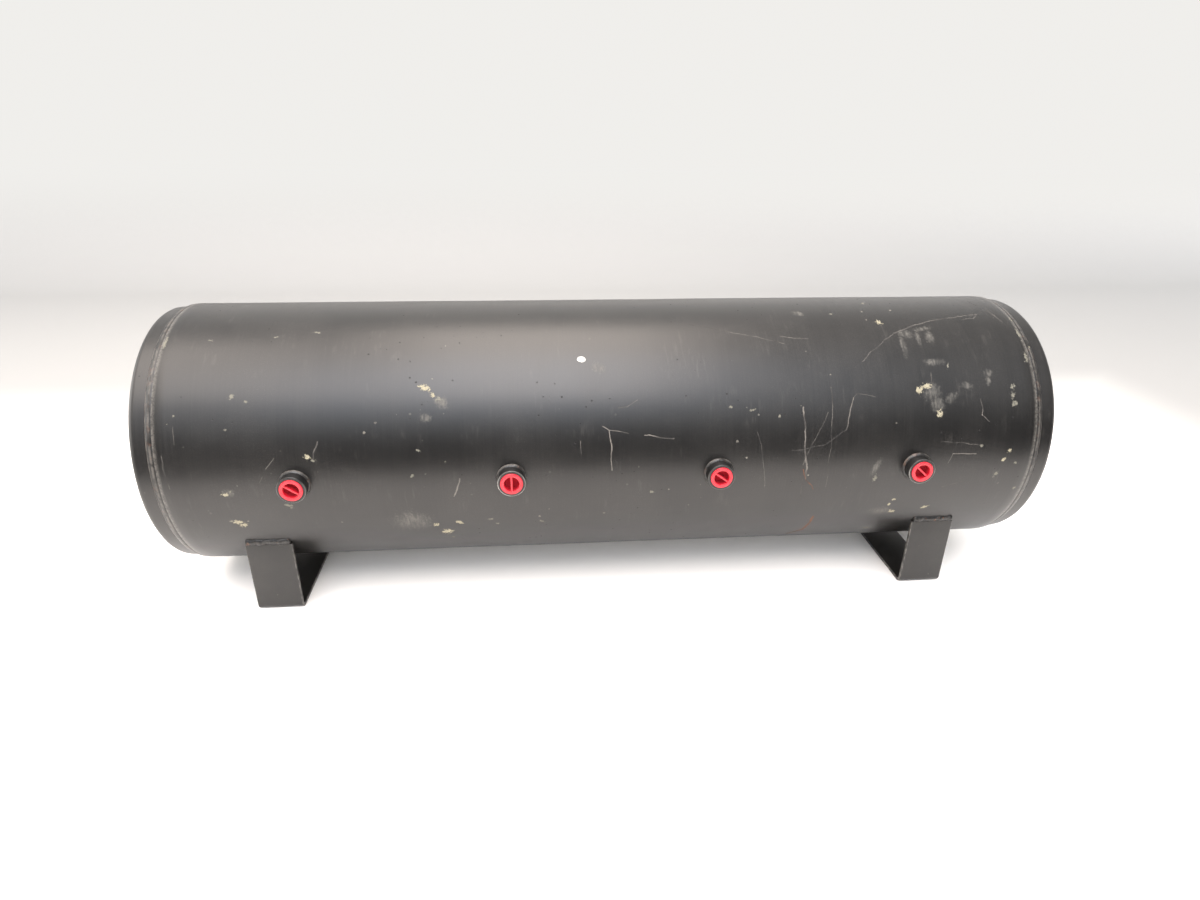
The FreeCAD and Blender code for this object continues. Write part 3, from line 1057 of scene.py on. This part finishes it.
def makeSockets():
    weldPaint = makeWeldPaint("socketWeldPaint", socketToeRubAndGlint, 0.15)
    socketMaster, weldMaster, plugMaster = makeSocketMaster(), makeSocketWeldMaster(), makePlugMaster()
    axis = outFromTank(0)
    for i, x in enumerate(socketPlaces, 1):
        socket = copyTo(socketMaster, f"socket{i}", (x, 0, 0))
        finishPiece(socket, f"coupling_{i}", socketPaint, 40)
        weld = copyTo(weldMaster, f"socketWeld{i}", (x, 0, 0))
        unevenSkin(weld, socketWeldSettings["lumps"],
                   lambda co: math.hypot(co.x - x, co.z - socketZ) > socketRadius + 0.0002
                   and axisY - co.y > shellRadius - 0.001)
        finishPiece(weld, f"coupling_weld_{i}", weldPaint, 60)
        # turned about its own axis until the web lies as it was left
        turn = math.radians(plugSettings["webTurns"][i - 1])
        shift = axis - Vector((axis.x * math.cos(turn) + axis.z * math.sin(turn), axis.y,
                               axis.z * math.cos(turn) - axis.x * math.sin(turn)))
        plug = copyTo(plugMaster, f"plug{i}", shift + Vector((x, 0, 0)), (0, turn, 0))
        finishPiece(plug, f"plug_{i}", plugPlastic, 35)
    for master in (socketMaster, weldMaster, plugMaster):
        bpy.data.objects.remove(master)


makeSockets()
print("sockets and plugs made")


# feet and their welds

def makeFeet():
    s = footSettings
    boxes = [nodeBox("foot_left"), nodeBox("foot_right")]
    centres = [(low.x + high.x) / 2 for low, high in boxes]
    low, high = boxes[0]
    width = high.x - low.x
    middleY = (low.y + high.y) / 2
    outerBend = s["bendInside"] + s["thick"]
    flat = (high.y - low.y) - 2 * outerBend
    clearSelection()
    bpy.ops.mesh.primitive_cube_add(
        size=1, location=(0, middleY, s["thick"] / 2), scale=(width, flat, s["thick"]))
    master = nameIt(bpy.context.object, "footMaster")
    applyPlace(master)
    startEdit(master)
    for side in (-1, 1):
        endY = middleY + side * flat / 2
        pick(master, 'FACE', lambda co: abs(co.y - endY) < 0.0001)
        turn = side * math.radians(-90)
        bpy.ops.mesh.spin(steps=s["bendSteps"], angle=turn, center=(0, endY, outerBend), axis=(1, 0, 0))
        extrudeBy((0, 0, high.z - outerBend))
    cleanMesh()
    roundEdges(master, s["edgeRound"], 3, 50)
    paint = makeFootPaint(centres, width / 2)
    for name, node, x in zip(("footLeft", "footRight"), ("foot_left", "foot_right"), centres):
        finishPiece(copyTo(master, name, (x, 0, 0)), node, paint, 35)
    bpy.data.objects.remove(master)


makeFeet()

footWeldSettings = {
    "tall": 0.0060,
    "thick": 0.0043,
    "lean": 20,
    "endGap": 0.001,
    "outFromSide": 0.0045,
    "upFromFoot": 0.0058,
    "swell": (0.55, 0.84, 0.96, 1.0),
    "sectionSteps": 24,
    "lengthSteps": 110,
    "lumps": ((0.014, 0.0018), (0.0055, 0.0024), (0.0024, 0.0010)),
}


def makeFootWelds():
    # a bead drawn out along the top of the leg, pressed into the corner under the shell
    s = footWeldSettings
    low, high = nodeBox("foot_left_weld_front")
    length = high.x - low.x - 2 * s["endGap"]
    clearSelection()
    bpy.ops.mesh.primitive_circle_add(
        vertices=s["sectionSteps"], radius=s["thick"], fill_type='NGON',
        location=(-length / 2, 0, 0), rotation=(0, math.radians(90), 0))
    master = nameIt(bpy.context.object, "footWeldMaster")
    master.scale = (s["tall"] / s["thick"], 1, 1)
    applyPlace(master)
    startEdit(master)
    bpy.ops.mesh.select_all(action='SELECT')
    swell = s["swell"]
    bpy.ops.transform.resize(value=(1, swell[0], swell[0]), center_override=(0, 0, 0))
    for i in range(1, s["lengthSteps"] + 1):
        extrudeBy((length / s["lengthSteps"], 0, 0))
        now = swell[min(i, s["lengthSteps"] - i, 3)]
        before = swell[min(i - 1, s["lengthSteps"] - i + 1, 3)]
        if now != before:
            bpy.ops.transform.resize(value=(1, now / before, now / before), center_override=(0, 0, 0))
    cleanMesh()
    paint = makeWeldPaint("footWeldPaint", None, 0.45)
    for foot in ("Left", "Right"):
        for end, side in (("Front", -1), ("Rear", 1)):
            node = f"foot_{foot.lower()}_weld_{end.lower()}"
            low, high = nodeBox(node)
            outY = low.y if side < 0 else high.y
            place = ((low.x + high.x) / 2, outY - side * s["outFromSide"], low.z + s["upFromFoot"])
            bead = copyTo(master, f"footWeld{foot}{end}", place, (side * math.radians(s["lean"]), 0, 0))
            unevenSkin(bead, s["lumps"])
            finishPiece(bead, node, paint, 60)
    bpy.data.objects.remove(master)


makeFootWelds()
print("feet made")


# floor, light and camera

stageSettings = {
    "wide": 12.0,
    "frontY": -6.0,
    "backY": 2.6,
    "backHeight": 3.2,
    "bend": 0.6,
    "lit": (0.92, 0.905, 0.885, 1),
    "outer": (0.300, 0.297, 0.290, 1),
    "high": (0.66, 0.655, 0.64, 1),
    "seen": (0.872, 0.860, 0.835, 1),
    # where the tones begin and end their change
    "sideFade": (0.85, 1.70),
    "backFade": (0.15, 0.95),
    "heightFade": (0.20, 1.60),
    "seenFade": (0.02, 0.45),
    "cardY": -0.90,
    "cardWide": 6.0,
    "cardHeight": 0.40,
}


def flatSheet(name, centre, wide, deep, tilt=0):
    clearSelection()
    bpy.ops.mesh.primitive_plane_add(size=1, location=centre, rotation=(math.radians(tilt), 0, 0))
    sheet = nameIt(bpy.context.object, name)
    sheet.scale = (wide, deep, 1)
    applyPlace(sheet)
    return sheet


def makeStage():
    s = stageSettings
    deep = s["backY"] - s["frontY"]
    floor = flatSheet("paleFloor", (0, s["frontY"] + deep / 2, 0), s["wide"], deep)
    startEdit(floor)
    pick(floor, 'EDGE', lambda co: co.y > s["backY"] - 0.001)
    extrudeBy((0, 0, s["backHeight"]))
    pick(floor, 'EDGE', lambda co: abs(co.y - s["backY"]) < 0.001 and co.z < 0.001)
    bpy.ops.mesh.bevel(offset=s["bend"], segments=20, affect='EDGES')
    makeActive(floor)
    bpy.ops.object.shade_smooth()
    material, shader, place = newMaterial("paleStage")
    x, y, z = partsOf(place)
    mottle = noiseOf(place, 3.0, 3.0, 0.5)
    beyondSide = rangeOf(mathOf('ABSOLUTE', x), *s["sideFade"])
    beyondBack = rangeOf(mathOf('MULTIPLY_ADD', mottle, 0.02, y), *s["backFade"])
    outer = mathOf('MAXIMUM', beyondSide, beyondBack)
    low = mixOf(outer, s["lit"], s["outer"])
    high = rangeOf(mathOf('MULTIPLY_ADD', x, 0.12, z), *s["heightFade"])
    connect(mixOf(high, low, s["high"]), shader.inputs['Base Color'])
    shader.inputs['Roughness'].default_value = 0.75
    # the wall is seen as one even pale tone, but it lights the tank as a wall does
    path = tree.nodes.new('ShaderNodeLightPath').outputs
    even = tree.nodes.new('ShaderNodeEmission')
    even.inputs['Color'].default_value = s["seen"]
    blend = tree.nodes.new('ShaderNodeMixShader')
    connect(product(path['Is Camera Ray'], rangeOf(z, *s["seenFade"])), blend.inputs['Fac'])
    connect(shader.outputs[0], blend.inputs[1])
    connect(even.outputs[0], blend.inputs[2])
    connect(blend.outputs[0], firstOf('OUTPUT_MATERIAL').inputs['Surface'])
    floor.data.materials.append(material)


def makeBlackCard():
    # a low black card in front that only reflections see, for the dark line along the tank
    s = stageSettings
    middle = (0, s["cardY"], s["cardHeight"] / 2)
    card = flatSheet("blackCard", middle, s["cardWide"], s["cardHeight"], 90)
    material, shader, place = newMaterial("cardBlack")
    weave = noiseOf(place, 40.0)
    connect(mixOf(weave, (0.008, 0.008, 0.009, 1), (0.014, 0.014, 0.016, 1)), shader.inputs['Base Color'])
    shader.inputs['Roughness'].default_value = 0.9
    card.data.materials.append(material)
    card.visible_camera = card.visible_diffuse = card.visible_shadow = card.visible_transmission = False


makeStage()
makeBlackCard()

lightSettings = {
    # both shine straight down: (place, width, depth, brightness)
    "overheadPanel": ((-0.10, -0.85, 2.7), 1.4, 3.9, 8.2),
    "overheadLeftPanel": ((-1.95, -0.9, 2.7), 1.5, 2.8, 5.6),
}
warmLight = (1.0, 0.888, 0.80)

for label, (spot, wide, deep, brightness) in lightSettings.items():
    lamp = bpy.data.lights.new(label, 'AREA')
    lamp.shape = 'RECTANGLE'
    lamp.size, lamp.size_y = wide, deep
    lamp.energy = brightness * math.pi * wide * deep
    lamp.color = warmLight
    holder = bpy.data.objects.new(label, lamp)
    bpy.context.collection.objects.link(holder)
    holder.location = spot

roomSettings = {
    "bright": 1.40,
    "rightShare": 0.56,
    "leftExtra": 3.0,
    "fill": 2.5,
    "dim": 0.12,
    "window": 2.9,
    "cool": (0.76, 0.89, 1.09, 1),
    "seen": 0.88,
    "tint": (1.0, 0.965, 0.93, 1),
    "frontFade": (0.20, 0.62),
    "lowFade": (0.10, 0.65),
    "leftFade": (-0.72, -0.92),
}


def makeRoom():
    # pale all round, dimmer low down in front
    s = roomSettings
    world = bpy.data.worlds.new("softRoom")
    bpy.context.scene.world = world
    world.use_nodes = True
    useTree(world.node_tree)
    glow = firstOf('BACKGROUND')
    x, y, z = partsOf(tree.nodes.new('ShaderNodeTexCoord').outputs['Generated'])
    level = vectorOf('LENGTH', joinOf(x, y), wanted=1)
    ahead = mathOf('DIVIDE', product(y, -1.0), mathOf('MAXIMUM', level, 0.001))
    front = rangeOf(ahead, *s["frontFade"])
    low = rangeOf(z, *s["lowFade"], 1.0, 0.0)
    pale = product(rangeOf(x, 0.0, 0.8, 1.0, s["rightShare"]), s["bright"])
    # the pale wall on the left, which only the left head faces
    pale = mathOf('ADD', pale, rangeOf(x, *s["leftFade"], 0.0, s["leftExtra"]))
    light = mixOf(product(front, low), pale, s["dim"], 'FLOAT')
    # a cool window high up in front, fading out below
    sideways = mathOf('ABSOLUTE', mathOf('ADD', x, 0.05))
    window = product(rangeOf(ahead, 0.55, 0.90), rangeOf(sideways, 0.55, 0.15), rangeOf(z, 0.12, 0.74))
    light = mathOf('MULTIPLY_ADD', window, s["window"], light)
    # reflections find the room dim low in front, while the light it gives stays even
    path = tree.nodes.new('ShaderNodeLightPath').outputs
    light = mixOf(path['Is Glossy Ray'], s["fill"], light, 'FLOAT')
    connect(mixOf(window, s["tint"], s["cool"]), glow.inputs['Color'])
    connect(mixOf(path['Is Camera Ray'], light, s["seen"], 'FLOAT'), glow.inputs['Strength'])


makeRoom()

cameraSettings = {
    "place": (-0.113, -1.146, 0.715),
    "turn": (65.2, -0.65, -5.0),
    "lens": 22.2,
}

camera = bpy.data.cameras.new("viewCamera")
cameraHolder = bpy.data.objects.new("viewCamera", camera)
bpy.context.collection.objects.link(cameraHolder)
camera.sensor_width = 36
camera.lens = cameraSettings["lens"]
cameraHolder.location = cameraSettings["place"]
cameraHolder.rotation_euler = [math.radians(a) for a in cameraSettings["turn"]]
bpy.context.scene.camera = cameraHolder
bpy.context.scene.view_settings.view_transform = 'Standard'
print("stage ready")
